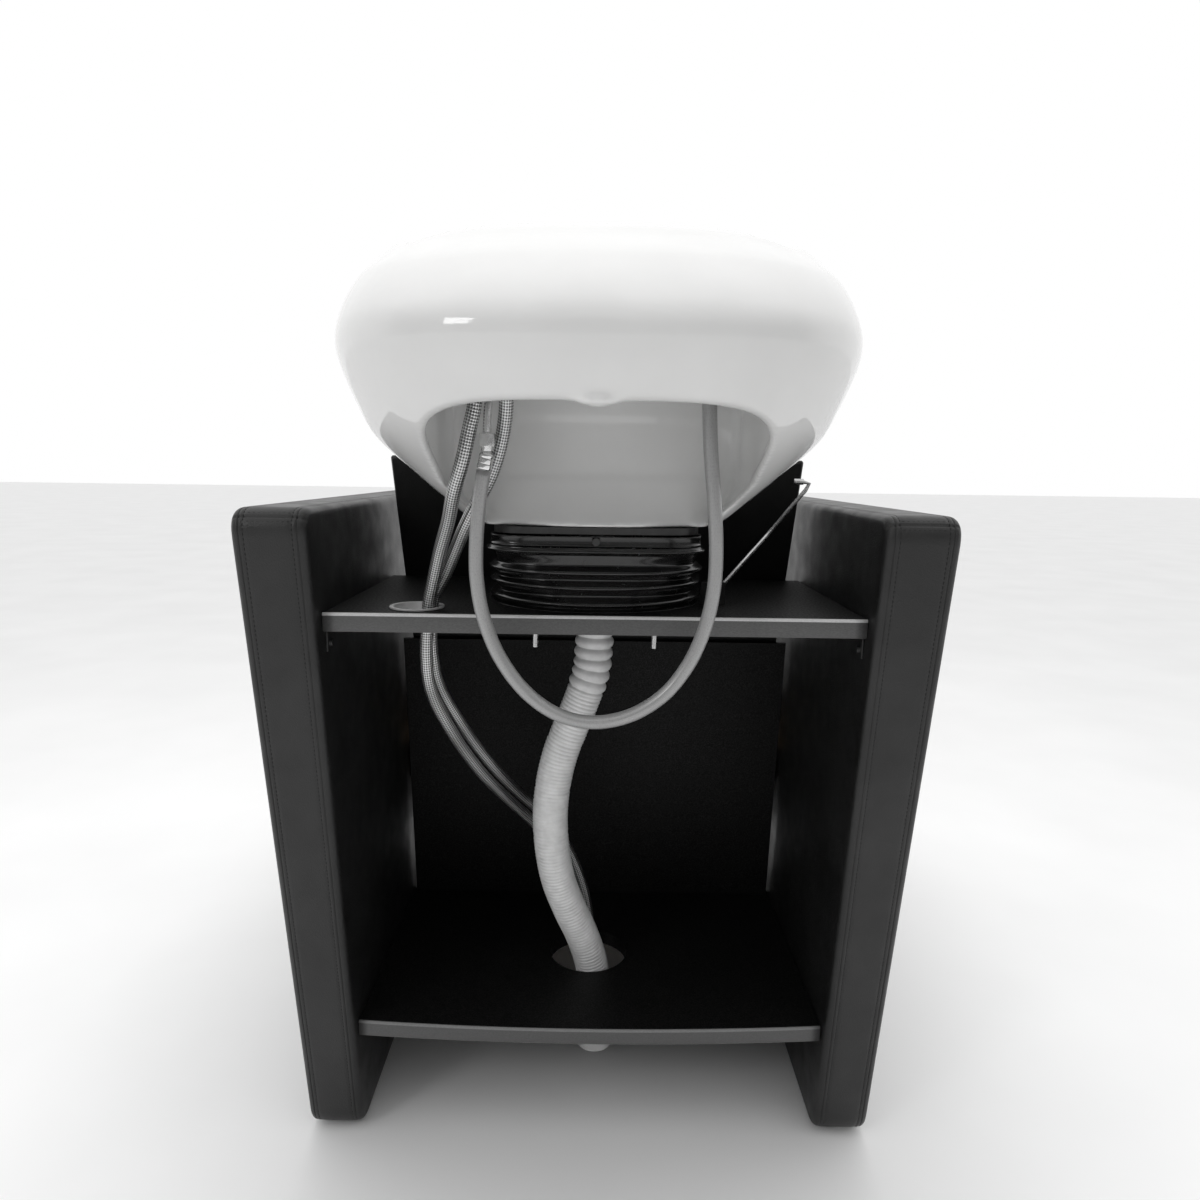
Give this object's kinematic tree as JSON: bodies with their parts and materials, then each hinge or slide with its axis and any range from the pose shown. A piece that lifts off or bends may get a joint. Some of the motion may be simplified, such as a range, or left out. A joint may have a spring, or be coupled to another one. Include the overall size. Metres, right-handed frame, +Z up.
{
  "type": "shampoo backwash unit",
  "caption": "Salon backwash unit: padded side panels, open rear cabinet with shelves, reclined seat and a tilting ceramic basin with hose fittings.",
  "frame": {"origin": "on the floor under the middle of the whole unit", "axes": "+Y from the basin's rear skirt towards the front of the seat, +X to the right seen from behind the basin, +Z up"},
  "size_m": [0.6738, 1.0664, 0.956],
  "materials": {
    "leatherette": "black PVC leatherette, fine grain, satin",
    "board_core": "raw board",
    "black_board": "black laminate, fine texture",
    "grey_edging": "dark grey edge band, satin",
    "black_steel": "black powder coat",
    "bright_steel": "zinc-bright steel",
    "bellows_rubber": "black, glossy",
    "neck_gel": "black, soft satin",
    "glazed_ceramic": "white glaze, high gloss",
    "chrome": "polished",
    "braided_hose": "stainless braid",
    "grey_hose": "silver-grey, satin",
    "white_plastic": "white, satin",
    "drain_hose": "white corrugated, satin",
    "light_plastic": "light grey",
    "black_plastic": "black, satin"
  },
  "bodies": {
    "frame": {"side_panel_cover_left": "leatherette", "side_panel_cover_right": "leatherette", "seat_cushion": "leatherette", "backrest_cushion": "leatherette", "backrest_board": "leatherette", "front_fascia": "leatherette", "side_panel_core_left": "board_core", "side_panel_core_right": "board_core", "seat_board": "board_core", "seat_cleat_left": "board_core", "seat_cleat_right": "board_core", "upper_shelf": "black_board", "lower_shelf": "black_board", "front_wall": "black_board", "upper_shelf_edging": "grey_edging", "lower_shelf_edging": "grey_edging", "tilt_base": "black_steel", "tilt_lock_block": "black_steel", "shelf_bracket_left": "black_steel", "shelf_bracket_right": "black_steel", "base_bolt_1": "bright_steel", "base_bolt_2": "bright_steel", "base_bolt_3": "bright_steel", "base_bolt_4": "bright_steel", "tilt_pin_left": "bright_steel", "tilt_pin_right": "bright_steel", "bellows": "bellows_rubber", "supply_nut_cold": "chrome", "supply_nut_hot": "chrome", "drain_end_cuff": "white_plastic", "drain_hose": "drain_hose", "hose_grommet": "light_plastic", "glide_rear_left": "black_plastic", "glide_rear_right": "black_plastic", "glide_front_left": "black_plastic", "glide_front_right": "black_plastic"},
    "basin_assembly": {"basin": "glazed_ceramic", "neck_rest": "neck_gel", "drain_flange": "chrome", "waste_pipe": "white_plastic", "drain_cuff": "white_plastic", "tilt_cradle": "black_steel", "bellows_collar": "bellows_rubber", "collar_screw": "black_steel", "mixer_body": "chrome", "mixer_nut": "bright_steel", "supply_hose_cold": "braided_hose", "supply_hose_hot": "braided_hose", "spray_tail": "chrome", "spray_nut": "chrome", "spray_ferrule": "chrome", "spray_hose": "grey_hose", "handset_holder": "chrome", "holder_nut": "bright_steel"},
    "mixer_cap": {"mixer_cap": "chrome"},
    "mixer_lever": {"mixer_lever": "chrome"},
    "handset": {"handset_body": "black_plastic", "spray_face": "light_plastic"},
    "strainer": {"strainer": "chrome"},
    "tilt_lock": {"tilt_lock_rod": "bright_steel"}
  },
  "joints": [
    {"name": "basin_tilt", "type": "hinge", "parent": "frame", "child": "basin_assembly", "pos_m": [0, -0.20024, 0.682], "axis": [1, 0, 0], "range_deg": [-6, 8], "deforming": ["bellows", "supply_hose_cold", "supply_hose_hot", "drain_hose"]},
    {"name": "mixer_turn", "type": "hinge", "parent": "basin_assembly", "child": "mixer_cap", "pos_m": [-0.092, -0.38023, 0.915], "axis": [0, 0, 1], "range_deg": [-40, 40]},
    {"name": "mixer_lift", "type": "hinge", "parent": "mixer_cap", "child": "mixer_lever", "pos_m": [-0.092, -0.38023, 0.939], "axis": [1, 0, 0], "range_deg": [0, 18]},
    {"name": "handset_lift", "type": "slide", "parent": "basin_assembly", "child": "handset", "axis": [0, 0, 1], "range_m": [0, 0.12], "deforming": ["spray_hose"]},
    {"name": "strainer_lift", "type": "slide", "parent": "basin_assembly", "child": "strainer", "axis": [0, 0, 1], "range_m": [0, 0.03]},
    {"name": "tilt_lock_pull", "type": "hinge", "parent": "frame", "child": "tilt_lock", "pos_m": [0.132, -0.24124, 0.646], "axis": [0.7894, -0.6139, 0], "range_deg": [0, 10], "stiffness_Nm_per_rad": 1, "springref_deg": -8.59}
  ]
}
